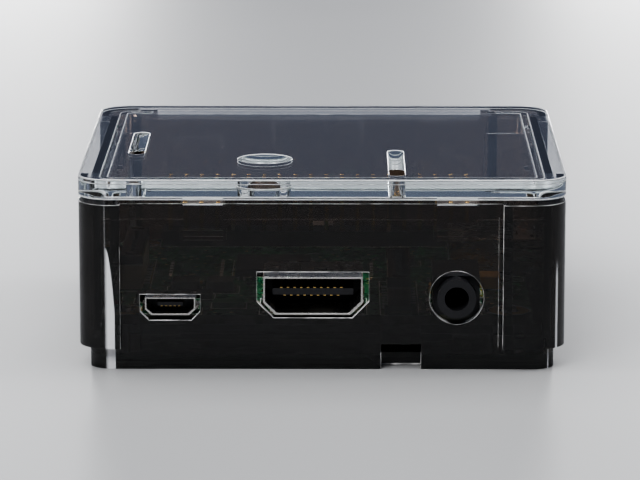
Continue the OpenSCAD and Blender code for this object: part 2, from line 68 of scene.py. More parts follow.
class Shader:
    """A material's node tree with short calls for the nodes used here."""

    def __init__(self, name):
        self.material = bpy.data.materials.new(name)
        self.material.use_nodes = True
        self.tree = self.material.node_tree
        self.tree.nodes.clear()
        self.out = self.tree.nodes.new("ShaderNodeOutputMaterial")
        self.coord = self.tree.nodes.new("ShaderNodeTexCoord")

    def node(self, kind, values=None, **props):
        made = self.tree.nodes.new("ShaderNode" + kind)
        for key, value in props.items():
            setattr(made, key, value)
        for key, value in (values or {}).items():
            self.put(made.inputs[key], value)
        return made

    def put(self, socket, value):
        if isinstance(value, bpy.types.NodeSocket):
            self.tree.links.new(value, socket)
        else:
            socket.default_value = value

    def stretched(self, scale):
        return self.node("Mapping", {"Vector": self.coord.outputs["Object"], "Scale": scale}).outputs[0]

    def noise(self, scale, detail=3.0, rough=0.5, vector=None):
        vector = vector or self.coord.outputs["Object"]
        made = self.node("TexNoise", {"Vector": vector, "Scale": scale, "Detail": detail, "Roughness": rough})
        return made.outputs["Fac"]

    def cells(self, scale):
        """Distance to the nearest of many scattered points."""
        made = self.node("TexVoronoi", {"Vector": self.coord.outputs["Object"], "Scale": scale}, feature="F1")
        return made.outputs["Distance"]

    def remap(self, value, low, high, to_low=0.0, to_high=1.0):
        made = self.node("MapRange", {
            "Value": value, "From Min": low, "From Max": high, "To Min": to_low, "To Max": to_high,
        })
        return made.outputs[0]

    def math(self, operation, a, b=0.0):
        return self.node("Math", {0: a, 1: b}, operation=operation).outputs[0]

    def mix(self, factor, a, b):
        made = self.node("Mix", data_type="RGBA")
        self.put(made.inputs[0], factor)
        self.put(made.inputs[6], a)
        self.put(made.inputs[7], b)
        return made.outputs[2]

    def bump(self, height, strength, distance, normal=None):
        values = {"Height": height, "Strength": strength, "Distance": distance}
        if normal is not None:
            values["Normal"] = normal
        return self.node("Bump", values).outputs[0]

    def principled(self, **values):
        named = {key.replace("_", " "): value for key, value in values.items()}
        self.put(self.out.inputs["Surface"], self.node("BsdfPrincipled", named).outputs[0])


def rgb(r, g, b):
    return (r, g, b, 1.0)


# ---------- materials ----------

POLYCARBONATE_IOR = 1.586


def edge_mask(shader, start, full, upright_radii):
    """0 on a moulding's faces and round outer corners, and 1 on the small radii between them.
    Without upright radii every upright wall counts as a face, such as the walls of round holes."""
    normal = shader.node("SeparateXYZ", {0: shader.node("NewGeometry").outputs["Normal"]})
    x, y, z = (shader.math("ABSOLUTE", part) for part in normal.outputs)
    squareness = shader.math("MAXIMUM", shader.math("MAXIMUM", x, y), z)
    level = shader.math("SQRT", shader.math("SUBTRACT", 1.0, shader.math("MULTIPLY", z, z)))
    if not upright_radii:
        return shader.remap(shader.math("MAXIMUM", squareness, level), start, full)
    place = shader.node("SeparateXYZ", {0: shader.coord.outputs["Object"]}).outputs
    beyond_x = shader.math("GREATER_THAN", shader.math("ABSOLUTE", place[0]), HALF_W - CORNER_R)
    beyond_y = shader.math("GREATER_THAN", shader.math("ABSOLUTE", place[1]), HALF_D - CORNER_R)
    corner_level = shader.math("MULTIPLY", level, shader.math("MULTIPLY", beyond_x, beyond_y))
    return shader.remap(shader.math("MAXIMUM", squareness, corner_level), start, full)


def painted_corner_highlight(shader):
    """A painted highlight: soft upright lines low on the round outer corners, a blade on the left pair and a fine
    line on the right.
    """
    place = shader.node("SeparateXYZ", {0: shader.coord.outputs["Object"]}).outputs
    normal_x = shader.node("SeparateXYZ", {0: shader.node("NewGeometry").outputs["Normal"]}).outputs[0]
    blade_x, blade_width, blade_tip, blade_full = 4.25 * MM, 1.35 * MM, 18.8 * MM, 9 * MM
    line_normal, line_tip, line_full = 0.72, 17 * MM, 14 * MM
    taper = shader.math("SQRT", shader.remap(place[2], blade_tip, blade_full))
    from_edge = shader.math("ADD", place[0], HALF_W - blade_x)
    blade_end = shader.math("MULTIPLY", taper, blade_width)
    rising = shader.remap(from_edge, -0.25 * MM, 0.25 * MM)
    falling = shader.remap(shader.math("SUBTRACT", blade_end, from_edge), 0.0, 0.12 * MM)
    blade = shader.math("MULTIPLY", rising, falling)
    line = shader.remap(shader.math("ABSOLUTE", shader.math("SUBTRACT", normal_x, line_normal)), 0.045, 0.02)
    line = shader.math("MULTIPLY", line, shader.remap(place[2], line_tip, line_full))
    near_corner = shader.math("GREATER_THAN", shader.math("ABSOLUTE", place[1]), HALF_D - CORNER_R)
    painted_highlight = shader.math("MAXIMUM", blade, shader.math("MULTIPLY", line, 0.8))
    return shader.math("MULTIPLY", painted_highlight, near_corner)


def polycarbonate(name, absorb_color, density, haze, painted_edge_highlight, painted_highlight=0.0, upright_radii=True):
    """Polished moulded polycarbonate, tinted by its own thickness, with faint flow waves, dust and hairlines.
    Its radii turn whitish and cloudy: a painted highlight that brightens every small radius under any lamp,
    joined by the painted highlight lines on the round corners."""
    s = Shader(name)
    # Painted highlight mask: the small radii, and the painted lines low on the round corners
    edges = s.math("MAXIMUM", edge_mask(s, 0.985, 0.9, upright_radii), s.math("MULTIPLY", painted_corner_highlight(s), painted_highlight))
    flow = s.noise(60, 2.0, 0.4)
    hairline_path = s.noise(900, 2.0, 0.5, s.stretched((0.05, 1.0, 0.4)))
    hairlines = s.remap(hairline_path, 0.72, 0.76)
    roughness = s.remap(s.noise(240, 4.0, 0.6), 0.35, 0.75, haze, haze * 2.6)
    normal = s.bump(flow, 0.01, 0.2 * MM)
    normal = s.bump(hairlines, 0.05, 0.02 * MM, normal)
    s.principled(
        Base_Color=rgb(1, 1, 1), Roughness=roughness, IOR=POLYCARBONATE_IOR, Normal=normal,
        Transmission_Weight=s.remap(edges, 0.0, 1.0, 1.0, 1.0 - painted_edge_highlight),
    )
    volume = s.node("VolumeAbsorption", {"Color": absorb_color, "Density": density})
    s.put(s.out.inputs["Volume"], volume.outputs[0])
    return s.material


def moulded(name, color, variation=0.12, rough=0.45, grain=1800, depth=0.012):
    """Fine-grained injection moulding."""
    s = Shader(name)
    patches = s.noise(160, 4.0, 0.6)
    dark = tuple(c * (1 - variation) for c in color) + (1.0,)
    light = tuple(min(1.0, c * (1 + variation) + 0.004) for c in color) + (1.0,)
    fine = s.noise(grain, 3.0, 0.6)
    s.principled(
        Base_Color=s.mix(s.remap(patches, 0.3, 0.7), dark, light),
        Roughness=s.remap(fine, 0.3, 0.7, rough - 0.08, rough + 0.1),
        Normal=s.bump(fine, 0.35, depth * MM),
    )
    return s.material


def plated_sheet(name, color, rough=0.26):
    """Plated folded sheet with drawing lines along its length and small handling marks."""
    s = Shader(name)
    lines = s.noise(1500, 3.0, 0.6, s.stretched((0.12, 0.04, 1.0)))
    marks = s.noise(220, 4.0, 0.65)
    dark = tuple(c * 0.82 for c in color) + (1.0,)
    s.principled(
        Base_Color=s.mix(s.remap(marks, 0.35, 0.7), dark, color + (1.0,)),
        Metallic=1.0,
        Roughness=s.remap(s.math("ADD", lines, marks), 0.7, 1.4, rough * 0.7, rough * 1.5),
        Normal=s.bump(lines, 0.2, 0.01 * MM),
    )
    return s.material


def solder_mask(name, dark=rgb(0.012, 0.105, 0.045), light=rgb(0.02, 0.16, 0.062)):
    """Green solder mask over copper: pours, routed lines and a faint weave show through the gloss."""
    s = Shader(name)
    pour_mask = s.remap(s.cells(95), 0.42, 0.44)
    weave = s.node("TexWave", {"Scale": 620.0, "Distortion": 0.4, "Vector": s.coord.outputs["Object"]})
    blotch = s.noise(60, 3.0, 0.5)
    base = s.mix(pour_mask, dark, light)
    base = s.mix(s.remap(blotch, 0.3, 0.8, 0.0, 0.35), base, rgb(0.008, 0.075, 0.035))
    upright = s.node("SeparateXYZ", {0: s.node("NewGeometry").outputs["Normal"]}).outputs[2]
    sawn_edge = s.remap(s.math("ABSOLUTE", upright), 0.6, 0.4)
    base = s.mix(sawn_edge, base, rgb(0.03, 0.032, 0.016))
    height = s.math("ADD", s.math("MULTIPLY", pour_mask, 0.8), s.math("MULTIPLY", weave.outputs["Fac"], 0.08))
    s.principled(
        Base_Color=base, Roughness=s.remap(s.noise(500), 0.3, 0.7, 0.22, 0.36),
        Coat_Weight=0.4, Coat_Roughness=0.12, Normal=s.bump(height, 0.3, 0.03 * MM),
    )
    return s.material


def edge_highlight_paint(name, color, clearness, dullest):
    """A painted highlight for the lines laid along edges: whitish paint standing for the light that a polished
    radius, seen along its length, gathers from inside the plastic.
    """
    s = Shader(name)
    highlight_patchiness = s.noise(400, 3.0, 0.6)
    s.principled(
        Base_Color=s.mix(s.remap(highlight_patchiness, 0.4, 0.6), rgb(*(c * dullest for c in color)), rgb(*color)),
        Roughness=s.remap(highlight_patchiness, 0.3, 0.7, 0.12, 0.3), Transmission_Weight=clearness, IOR=POLYCARBONATE_IOR,
    )
    return s.material


def tinted_resin(name, color):
    """Cast resin of a small lamp, a little cloudy inside."""
    s = Shader(name)
    cloud = s.noise(700, 2.0)
    dark = tuple(c * 0.7 for c in color) + (1.0,)
    s.principled(
        Base_Color=s.mix(cloud, dark, color + (1.0,)), Roughness=0.18, Subsurface_Weight=0.25,
        Normal=s.bump(cloud, 0.1, 0.02 * MM), Coat_Weight=0.6,
    )
    return s.material


def make_materials():
    """One material for each slot in the record, and two for the painted highlight lines along the edges."""
    return {
        "smoke_plastic": polycarbonate("smoke_polycarbonate", rgb(0.3, 0.18, 0.08), 2300.0, 0.006, 0.85, 0.8),
        "clear_plastic": polycarbonate(
            "clear_polycarbonate", rgb(0.93, 0.965, 0.975), 40.0, 0.004, 0.95, upright_radii=False,
        ),
        "board_laminate": solder_mask("green_solder_mask"),
        "chip_moulding": moulded("chip_epoxy", (0.022, 0.022, 0.024), rough=0.55, grain=5200, depth=0.01),
        "socket_metal": plated_sheet("nickel_sheet", (0.62, 0.61, 0.585)),
        "black_moulding": moulded("black_nylon", (0.018, 0.018, 0.02), rough=0.42),
        "white_moulding": moulded("white_nylon", (0.72, 0.7, 0.63), variation=0.05, rough=0.4),
        "contact_plating": plated_sheet("gold_plating", (0.86, 0.62, 0.25), rough=0.2),
        "tinned_contacts": plated_sheet("tin_plating", (0.68, 0.68, 0.66), rough=0.36),
        "connector_moulding": moulded("cream_nylon", (0.62, 0.56, 0.44), variation=0.06, rough=0.42),
        "latch_moulding": moulded("brown_nylon", (0.045, 0.028, 0.02), rough=0.38),
        "ferrite": moulded("moulded_ferrite", (0.07, 0.07, 0.073), rough=0.5, grain=3600),
        "fuse_body": moulded("fuse_laminate", (0.03, 0.16, 0.08), rough=0.4),
        "crystal_can": plated_sheet("crystal_lid", (0.7, 0.68, 0.6), rough=0.22),
        "red_led": tinted_resin("red_resin", (0.7, 0.1, 0.06)),
        "green_led": tinted_resin("green_resin", (0.15, 0.55, 0.16)),
        "tantalum": moulded("tantalum_epoxy", (0.66, 0.43, 0.09), variation=0.08, rough=0.34),
        "capacitor_ceramic": moulded("capacitor_ceramic", (0.36, 0.25, 0.14), variation=0.2, rough=0.4),
        "resistor_body": moulded("resistor_glaze", (0.025, 0.025, 0.028), rough=0.3),
        "clear_edge_highlight": edge_highlight_paint("clear_edge_highlight", (0.97, 0.975, 0.98), 0.0, 0.85),
        "smoke_edge_highlight": edge_highlight_paint("smoke_edge_highlight", (0.88, 0.87, 0.85), 0.25, 0.3),
        "card_plastic": moulded("card_shell", (0.025, 0.025, 0.028), rough=0.4, grain=2600),
    }


def paint(obj, material):
    obj.data.materials.clear()
    obj.data.materials.append(material)


# ---------- edges of the CAD parts ----------


def soften(obj, width):
    """Rounds a CAD part's moulded or folded edges with modifiers, leaving its own mesh as packed."""
    weld = obj.modifiers.new("weld", "WELD")
    weld.merge_threshold = 0.002 * MM
    flat = obj.modifiers.new("flat_faces", "DECIMATE")
    flat.decimate_type = "DISSOLVE"
    flat.angle_limit = math.radians(0.6)
    bevel = obj.modifiers.new("edge_radius", "BEVEL")
    bevel.width = width
    bevel.segments = 2
    bevel.limit_method = "ANGLE"
    bevel.angle_limit = math.radians(28)
    bevel.miter_outer = "MITER_ARC"
    bevel.use_clamp_overlap = True
    even = obj.modifiers.new("face_normals", "WEIGHTED_NORMAL")
    even.mode = "FACE_AREA"
    even.weight = 100
    even.thresh = 0.001
    for poly in obj.data.polygons:
        poly.use_smooth = True


# Edge radius of each part in millimetres
EDGE_RADII = {
    "case_base": 0.22, "case_lid": 0.3, "circuit_board": 0.08, "processor_package": 0.06, "memory_package": 0.06,
    "hdmi_socket_shell": 0.08, "power_socket_shell": 0.06, "usb_socket_shell": 0.08, "av_jack_body": 0.25,
    "pin_header_block": 0.12, "pin_header_pins": 0.12, "display_connector": 0.12, "camera_connector": 0.12,
    "display_latch": 0.12, "camera_latch": 0.12, "memory_card": 0.1, "power_inductors": 0.25,
    "bulk_capacitor": 0.18, "audio_capacitors": 0.15, "usb_socket_tongue": 0.15, "hdmi_socket_tongue": 0.1,
    "power_regulator": 0.06, "surge_diode": 0.12, "clock_crystal": 0.1, "input_fuse": 0.08,
    "chip_capacitors": 0.05, "chip_resistors": 0.04, "usb_power_switch": 0.06, "hdmi_protection_chips": 0.06,
}


def dress_nodes(materials):
    """Gives every CAD part the material of its slot, and its edge radius."""
    slot_of = {row["node"]: row["material_slot"] for row in frame["record"]["subparts"]}
    for name, obj in nodes.items():
        paint(obj, materials[slot_of[name]])
        if name in EDGE_RADII:
            soften(obj, EDGE_RADII[name] * MM)


# ---------- fine board detail ----------


def new_piece(name, bm, material):
    """Turns a bmesh in metres into a piece that rides on the case."""
    bmesh.ops.recalc_face_normals(bm, faces=bm.faces)
    mesh = bpy.data.meshes.new(name)
    bm.to_mesh(mesh)
    bm.free()
    obj = bpy.data.objects.new(name, mesh)
    bpy.context.scene.collection.objects.link(obj)
    paint(obj, material)
    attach(obj, "case")
    return obj


def prism(bm, outline, z0, z1):
    """A closed prism on a flat outline of (x, y) points."""
    low = [bm.verts.new((x, y, z0)) for x, y in outline]
    high = [bm.verts.new((x, y, z1)) for x, y in outline]
    bm.faces.new(high)
    bm.faces.new(low[::-1])
    for i, here in enumerate(low):
        after = (i + 1) % len(low)
        bm.faces.new((here, low[after], high[after], high[i]))


def box_prism(bm, low, high):
    prism(bm, [(low[0], low[1]), (high[0], low[1]), (high[0], high[1]), (low[0], high[1])], low[2], high[2])


def ring(bm, center, inner, outer, z0, z1, sides=28):
    """A closed flat ring round a centre."""
    rows = []
    for i in range(sides):
        turn = 2 * math.pi * i / sides
        c, s = math.cos(turn), math.sin(turn)
        rows.append([
            bm.verts.new((center[0] + r * c, center[1] + r * s, z)) for r, z in
            ((inner, z0), (outer, z0), (outer, z1), (inner, z1))
        ])
    for i, row in enumerate(rows):
        after = rows[(i + 1) % sides]
        for k in range(4):
            m = (k + 1) % 4
            bm.faces.new((row[k], after[k], after[m], row[m]))


def ribbon(points, width):
    """The outline of a strip of constant width along a bent line."""
    left, right = [], []
    for i, here in enumerate(points):
        before, after = points[max(i - 1, 0)], points[min(i + 1, len(points) - 1)]
        into, out = (here - before), (after - here)
        into = into.normalized() if into.length else out.normalized()
        out = out.normalized() if out.length else into
        tangent = (into + out).normalized()
        side = Vector((-tangent.y, tangent.x)) * (width / 2 / max(0.5, tangent.dot(out)))
        left.append((here.x + side.x, here.y + side.y))
        right.append((here.x - side.x, here.y - side.y))
    return left + right[::-1]


def routed(start, end, lead, upright=True):
    """A routed line: straight for the lead, 45 degrees across, then straight to the end."""
    start, end = Vector(start), Vector(end)
    along, across = (1, 0) if upright else (0, 1)
    way = math.copysign(1, end[along] - start[along])
    first = start.copy()
    first[along] += way * lead
    second = first.copy()
    second[across] = end[across]
    second[along] += way * abs(end[across] - start[across])
    return [start, first, second, end]


def islands(obj):
    """The boxes of a node's separate solids."""
    owner = {}

    def root(key):
        while owner[key] != key:
            key = owner[key]
        return key

    keys = [tuple(round(v / (0.001 * MM)) for v in vert.co) for vert in obj.data.vertices]
    for key in keys:
        owner.setdefault(key, key)
    for poly in obj.data.polygons:
        first = keys[poly.vertices[0]]
        for index in poly.vertices[1:]:
            owner[root(keys[index])] = root(first)
    groups = {}
    for vert, key in zip(obj.data.vertices, keys):
        groups.setdefault(root(key), []).append(vert.co)
    boxes = []
    for points in groups.values():
        low = Vector([min(p[k] for p in points) for k in range(3)])
        high = Vector([max(p[k] for p in points) for k in range(3)])
        boxes.append((low, high))
    return sorted(boxes, key=lambda b: tuple(b[0]))


BOARD_LOW, BOARD_HIGH = (Vector(corner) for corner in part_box("circuit_board"))
PRINT_Z = BOARD_HIGH.z
COPPER = 0.02 * MM
PRINT_TOP = PRINT_Z + 1.6 * COPPER
HOLE_INSET = 3.5 * MM


def mounting_holes():
    width, depth = 58 * MM, 49 * MM
    corner = BOARD_LOW.xy + Vector((HOLE_INSET, HOLE_INSET))
    return [corner + Vector((dx, dy)) for dx in (0, width) for dy in (0, depth)]


def middle(node):
    low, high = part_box(node)
    return (Vector(low) + Vector(high)) / 2


def trace_routes():
    """Bundles of routed lines between the processor and the sockets round it."""
    low, high = (Vector(c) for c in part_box("processor_package"))
    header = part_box("pin_header_block")
    hdmi, usb = middle("hdmi_socket_shell"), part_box("usb_socket_shell")
    display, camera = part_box("display_connector"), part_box("camera_connector")
    pitch = 2.54 * MM
    routes = []
    for i in range(20):
        start = (low.x + (0.55 + 0.575 * i) * MM, high.y + 0.3 * MM)
        end = (header[0][0] + pitch / 2 + (i + 0.15) * pitch, header[0][1] - 0.1 * MM)
        lead = (1.0 + 0.34 * (9.5 - abs(i - 9.5))) * MM
        run = abs(end[0] - start[0]) + lead
        if run < end[1] - start[1]:
            routes.append(routed(start, end, lead))
    for i in range(12):
        start = (low.x + (2.4 + 0.5 * i) * MM, low.y - 0.3 * MM)
        end = (hdmi.x + (i - 5.5) * 0.9 * MM, -18.4 * MM)
        routes.append(routed(start, end, (1.2 + 0.3 * abs(i - 5.5)) * MM))
    for i in range(9):
        start = (high.x + 0.3 * MM, low.y + (5.2 + 0.5 * i) * MM)
        end = (usb[0][0] - 0.4 * MM, middle("usb_socket_shell").y + (i - 4) * 0.75 * MM)
        routes.append(routed(start, end, (2.0 + 0.3 * i) * MM, upright=False))
    for i in range(12):
        start = (low.x - 0.3 * MM, low.y + (0.8 + 0.5 * i) * MM)
        end = (display[1][0] + 1.0 * MM, middle("display_connector").y + (i - 5.5) * MM)
        routes.append(routed(start, end, (0.8 + 0.3 * abs(i - 5.5)) * MM, upright=False))
    for i in range(8):
        start = (high.x + 0.3 * MM, low.y + (0.7 + 0.5 * i) * MM)
        end = (camera[0][0] - 1.0 * MM, -9.0 * MM - (7 - i) * MM)
        routes.append(routed(start, end, (0.6 + 0.42 * (7 - i)) * MM, upright=False))
    return routes


def board_traces(material):
    """Routed signal lines, and the wide copper from the power socket and to the USB socket."""
    bm = bmesh.new()
    for route in trace_routes():
        prism(bm, ribbon(route, 0.17 * MM), PRINT_Z, PRINT_Z + COPPER)
    usb_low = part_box("usb_socket_shell")[0]
    fuse = middle("input_fuse")
    coils = middle("power_inductors")
    for dx, width in ((-2.2, 1.6), (0.4, 1.2), (2.4, 0.9)):
        path = [Vector((fuse.x + dx * MM, fuse.y + 2.2 * MM)), Vector((fuse.x + dx * MM, coils.y - 3.6 * MM))]
        prism(bm, ribbon(path, width * MM), PRINT_Z, PRINT_Z + COPPER)
    for k in range(3):
        x = usb_low[0] - (2.5 + 1.1 * k) * MM
        path = [Vector((x, 12 * MM)), Vector((x, 17.5 * MM)), Vector((x - 2 * MM, 19.5 * MM))]
        prism(bm, ribbon(path, 0.5 * MM), PRINT_Z, PRINT_Z + COPPER)
    new_piece("board_traces", bm, material)


def taken_boxes():
    """What already stands on the board, as flat boxes."""
    flat = []
    for name, obj in nodes.items():
        if name.startswith("case") or name in ("circuit_board", "memory_card"):
            continue
        for low, high in islands(obj):
            if high.z > PRINT_Z:
                flat.append((low.x, high.x, low.y, high.y))
    return flat


def is_free(spot, flat, margin):
    """Whether a spot on the board is clear of parts and mounting holes."""
    for x0, x1, y0, y1 in flat:
        if x0 - margin < spot[0] < x1 + margin and y0 - margin < spot[1] < y1 + margin:
            return False
    return all((Vector(spot) - hole).length > 4 * MM for hole in mounting_holes())


def vias_and_pads(material, flat):
    """Small plated rings all over, larger test pads, and the four pads round the mounting holes."""
    rnd = random.Random(11)
    bm = bmesh.new()
    top = PRINT_Z + COPPER
    for hole in mounting_holes():
        ring(bm, hole, 1.45 * MM, 3.0 * MM, PRINT_Z, top, 48)
    ends = [route[-1] for route in trace_routes()] + [route[0] for route in trace_routes()]
    spots = []
    while len(spots) < 150:
        spot = (
            rnd.uniform(BOARD_LOW.x + 1.2 * MM, BOARD_HIGH.x - 1.2 * MM),
            rnd.uniform(BOARD_LOW.y + 1.2 * MM, BOARD_HIGH.y - 1.2 * MM),
        )
        clear = all((Vector(spot) - Vector(other)).length > 1.1 * MM for other in spots + ends)
        if clear and is_free(spot, flat, 0.5 * MM):
            spots.append(spot)
    for i, spot in enumerate(spots):
        hole, size = (0.02, 0.55) if i % 12 == 0 else (0.13, 0.27)
        ring(bm, spot, hole * MM, size * MM, PRINT_Z, top, 20)
    for end in ends:
        if is_free(end, flat, 0.1 * MM):
            ring(bm, end, 0.1 * MM, 0.24 * MM, PRINT_Z, top + 0.005 * MM, 16)
    new_piece("plated_pads", bm, material)


def frame_outline(bm, low, high, grow):
    """A printed rectangle round a part."""
    line = 0.14 * MM
    x0, y0, x1, y1 = low[0] - grow, low[1] - grow, high[0] + grow, high[1] + grow
    x0, x1 = max(x0, BOARD_LOW.x + 0.2 * MM), min(x1, BOARD_HIGH.x - 0.2 * MM)
    y0, y1 = max(y0, BOARD_LOW.y + 0.2 * MM), min(y1, BOARD_HIGH.y - 0.2 * MM)
    for ax, ay, bx, by in (
        (x0, y0, x1, y0 + line), (x0, y1 - line, x1, y1),
        (x0, y0 + line, x0 + line, y1 - line), (x1 - line, y0 + line, x1, y1 - line),
    ):
        box_prism(bm, (ax, ay, PRINT_Z), (bx, by, PRINT_TOP))


def printed_outlines(material):
    """White outlines round the larger parts, as on any board, with no lettering."""
    bm = bmesh.new()
    outlined = (
        "processor_package", "power_inductors", "power_regulator", "surge_diode", "bulk_capacitor",
        "clock_crystal", "audio_capacitors", "usb_power_switch", "input_fuse", "display_connector",
        "camera_connector", "pin_header_block", "hdmi_protection_chips", "hdmi_socket_shell",
        "usb_socket_shell", "av_jack_body", "power_socket_shell", "power_led", "activity_led",
    )
    for name in outlined:
        margin = (1.25 if name.endswith("connector") else 0.45) * MM
        for low, high in islands(nodes[name]):
            frame_outline(bm, low, high, margin)
    for hole in mounting_holes():
        ring(bm, hole, 3.15 * MM, 3.3 * MM, PRINT_Z, PRINT_TOP, 48)
    low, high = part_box("processor_package")
    ring(bm, (low[0] - 1.0 * MM, high[1] + 1.0 * MM), 0.02 * MM, 0.3 * MM, PRINT_Z, PRINT_TOP, 20)
    low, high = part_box("pin_header_block")
    ring(bm, (low[0] - 1.1 * MM, low[1] + 1.2 * MM), 0.02 * MM, 0.3 * MM, PRINT_Z, PRINT_TOP, 20)
    new_piece("printed_outlines", bm, material)


def end_caps(material):
    """Tinned ends of the small chip parts, each with its solder fillet."""
    bm = bmesh.new()
    skin = 0.012 * MM
    for node in ("chip_capacitors", "chip_resistors"):
        for low, high in islands(nodes[node]):
            size = high - low
            k = 0 if size.x > size.y else 1
            cap, foot = size[k] * 0.24, size[k] * 0.16
            for end in (-1, 1):
                a, b = low - Vector((skin, skin, 0)), high + Vector((skin, skin, skin))
                a.z = PRINT_Z
                if end < 0:
                    b[k] = low[k] + cap
                    face = a[k]
                else:
                    a[k] = high[k] - cap
                    face = b[k]
                box_prism(bm, a, b)
                side = 1 - k
                rise = size.z * 0.6
                corners = []
                for s in (a[side] + skin, b[side] - skin):
                    for out, up in ((0, 0), (foot * end, 0), (0, rise)):
                        point = [0, 0, PRINT_Z + up]
                        point[k], point[side] = face + out, s
                        corners.append(bm.verts.new(point))
                near, far = corners[:3], corners[3:]
                bm.faces.new(near)
                bm.faces.new(far[::-1])
                for i in range(3):
                    m = (i + 1) % 3
                    bm.faces.new((near[i], near[m], far[m], far[i]))
    piece = new_piece("tinned_ends", bm, material)
    rounding = piece.modifiers.new("edge_radius", "BEVEL")
    rounding.width = 0.03 * MM
    rounding.segments = 2
    rounding.limit_method = "ANGLE"


def shell_springs(metal, dark):
    """Spring tongues cut into the tops of the HDMI and USB shells: a U-shaped slit, drawn as thin black strips of
    painted shade, and a pressed dimple.
    """
    slit_shade, dimples = bmesh.new(), bmesh.new()
    for node, length, width, upright in (
        ("hdmi_socket_shell", 4.2, 1.9, True), ("usb_socket_shell", 6.0, 2.4, False),
    ):
        low, high = (Vector(c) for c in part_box(node))
        top = high.z if upright else high.z - 0.35 * MM
        for share in (0.25, 0.75):
            if upright:
                c = Vector((low.x + (high.x - low.x) * (0.12 + 0.76 * share), low.y + 5.6 * MM))
            else:
                c = Vector((high.x - 6.4 * MM, low.y + (high.y - low.y) * (0.1 + 0.8 * share)))
            half_l, half_w = length / 2 * MM, width / 2 * MM
            path = [(-half_w, half_l), (-half_w, -half_l), (half_w, -half_l), (half_w, half_l)]
            if not upright:
                path = [(-y, x) for x, y in path]
            line = [c + Vector(p) for p in path]
            for a, b in zip(line, line[1:]):
                step = (b - a).normalized() * 0.11 * MM
                # Painted shade: a thin black strip lies where the slit's gap would show dark
                prism(slit_shade, ribbon([a - step, b + step], 0.22 * MM), top - 0.02 * MM, top + 0.012 * MM)
            for k, r in enumerate((0.62, 0.5, 0.34)):
                ring(dimples, c + (line[1] + line[2] - 2 * c) / 2 * 0.35, 0.01 * MM, r * MM,
                     top - 0.02 * MM, top + (0.05 + 0.05 * k) * MM)
    new_piece("shell_slit_shade", slit_shade, dark)
    new_piece("shell_dimples", dimples, metal)


def board_detail(materials):
    board_traces(solder_mask("masked_copper", rgb(0.022, 0.2, 0.08), rgb(0.03, 0.24, 0.1)))
    vias_and_pads(plated_sheet("pad_gold", (0.83, 0.64, 0.3), rough=0.3), taken_boxes())
    printed_outlines(moulded("board_print", (0.78, 0.79, 0.76), variation=0.05, rough=0.55))
    end_caps(materials["tinned_contacts"])
    shell_springs(materials["socket_metal"], materials["black_moulding"])


# ---------- painted highlight lines along the moulded edges ---

RECESS = 1.6 * MM
COLUMN_LEFT, COLUMN_RIGHT, COLUMN_SIDE = 6.35 * MM, 9.45 * MM, 8 * MM
PLINTH_H = 3.4 * MM
BASE_TOP = 25.3 * MM
PLATE_LOW = 26.1 * MM
LIP_IN, LIP_T = 3.2 * MM, 1.2 * MM
RIBBON_W = 53 * MM
THIN_LINE, FINE_LINE, BOLD_LINE = 0.04 * MM, 0.06 * MM, 0.12 * MM


def arc(center, radius, start, stop, steps=8):
    """Points on an arc in plan, from one angle in degrees to another."""
    turns = [math.radians(start + (stop - start) * i / steps) for i in range(steps + 1)]
    return [(center[0] + radius * math.cos(t), center[1] + radius * math.sin(t)) for t in turns]


def plan_outline(inset):
    """The case's rounded outline in plan, shrunk by an inset, anticlockwise from the front left corner."""
    radius = max(CORNER_R - inset, 0.6 * MM)
    w, d = HALF_W - inset - radius, HALF_D - inset - radius
    points = []
    for x, y, start in ((-w, -d, 180), (w, -d, 270), (w, d, 0), (-w, d, 90)):
        points += arc((x, y), radius, start, start + 90)
    return points


def lip_outline(inset):
    """The lid's lip in plan, from the left round the front to the right, open where a ribbon cable comes out."""
    outline = plan_outline(inset)
    corner = len(outline) // 4
    outline = outline[-corner:] + outline[:-corner]
    gap = RIBBON_W / 2 + 1.5 * MM
    return [(-gap, outline[0][1])] + outline + [(gap, outline[-1][1])]


def rim_outline():
    """The base's rim in plan: recessed panels between the four corner columns."""
    left, right, side = -HALF_W + COLUMN_LEFT, HALF_W - COLUMN_RIGHT, HALF_D - COLUMN_SIDE
    w, d, r = HALF_W - FINE_LINE, HALF_D - FINE_LINE, CORNER_R - FINE_LINE
    front = arc((-w + r, -d + r), r, 180, 270) + [
        (left, -d), (left, -HALF_D + RECESS), (right, -HALF_D + RECESS), (right, -d),
    ] + arc((w - r, -d + r), r, 270, 360)
    right_side = [(w, -side), (HALF_W - RECESS, -side), (HALF_W - RECESS, side), (w, side)]
    back = arc((w - r, d - r), r, 0, 90) + [
        (right, d), (right, HALF_D - RECESS), (left, HALF_D - RECESS), (left, d),
    ] + arc((-w + r, d - r), r, 90, 180)
    left_side = [(-w, side), (-HALF_W + RECESS, side), (-HALF_W + RECESS, -side), (-w, -side)]
    return front + right_side + back + left_side


def highlight_bead(name, points, radius, material, body, closed=True):
    """A fine round line through 3-D points, as a curve, laid along an edge as a painted highlight."""
    data = bpy.data.curves.new(name, "CURVE")
    data.dimensions = "3D"
    data.bevel_depth = radius
    data.bevel_resolution = 2
    data.use_fill_caps = True
    spline = data.splines.new("POLY")
    spline.points.add(len(points) - 1)
    for vertex, place in zip(spline.points, points):
        vertex.co = (*place, 1.0)
    spline.use_cyclic_u = closed
    obj = bpy.data.objects.new(name, data)
    bpy.context.scene.collection.objects.link(obj)
    obj.data.materials.append(material)
    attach(obj, body)


def at_height(outline, z):
    """Puts (x, y) points at a height."""
    return [(x, y, z) for x, y in outline]


def on_front(outline, depth):
    """Puts (x, z) points on the front, a depth behind the corner columns' faces."""
    return [(x, -HALF_D + depth, z) for x, z in outline]


def cut_port(x, width, low, high, cut):
    """A port's outline as (x, z) points: both bottom corners cut at 45 degrees."""
    half = width / 2
    return [(x - half + cut, low), (x + half - cut, low), (x + half, low + cut), (x + half, high),
            (x - half, high), (x - half, low + cut)]


